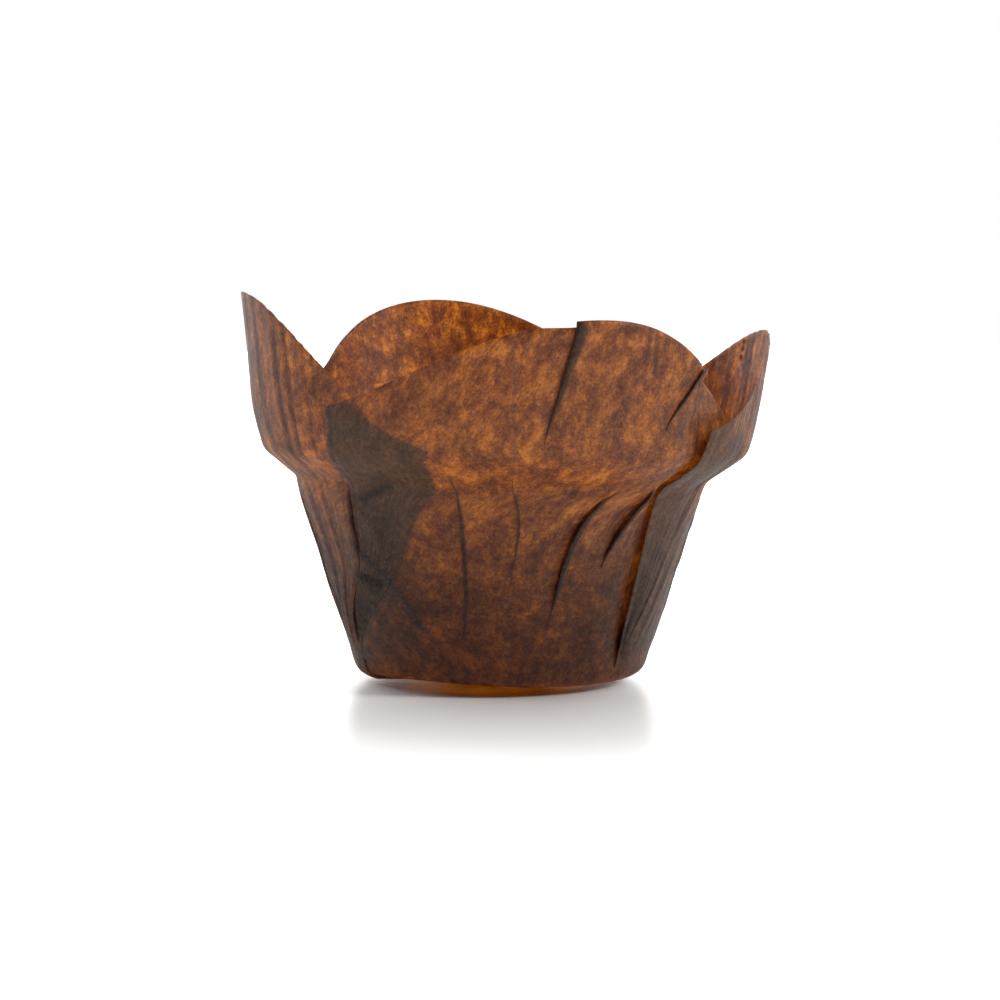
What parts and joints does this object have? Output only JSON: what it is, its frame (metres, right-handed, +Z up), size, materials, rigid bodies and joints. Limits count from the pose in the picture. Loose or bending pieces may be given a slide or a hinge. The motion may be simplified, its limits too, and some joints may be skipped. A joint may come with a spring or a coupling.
{
  "type": "cupcake liner",
  "caption": "Lotus muffin cup pressed from one sheet of brown baking paper, with a tapered cup, a stepped shoulder, upright petals and knife pleats lapped the same way round.",
  "frame": {"origin": "middle of the underside of the flat base", "axes": "+Z up out of the cup's mouth, -Y towards the front petal, +X towards the petal on its right"},
  "size_m": [0.1006, 0.1006, 0.0728],
  "materials": {
    "brown_baking_paper": "matt brown greaseproof paper that lets some light through, with cloudy fibre"
  },
  "bodies": {
    "root": {"paper_liner": "brown_baking_paper"}
  },
  "joints": []
}
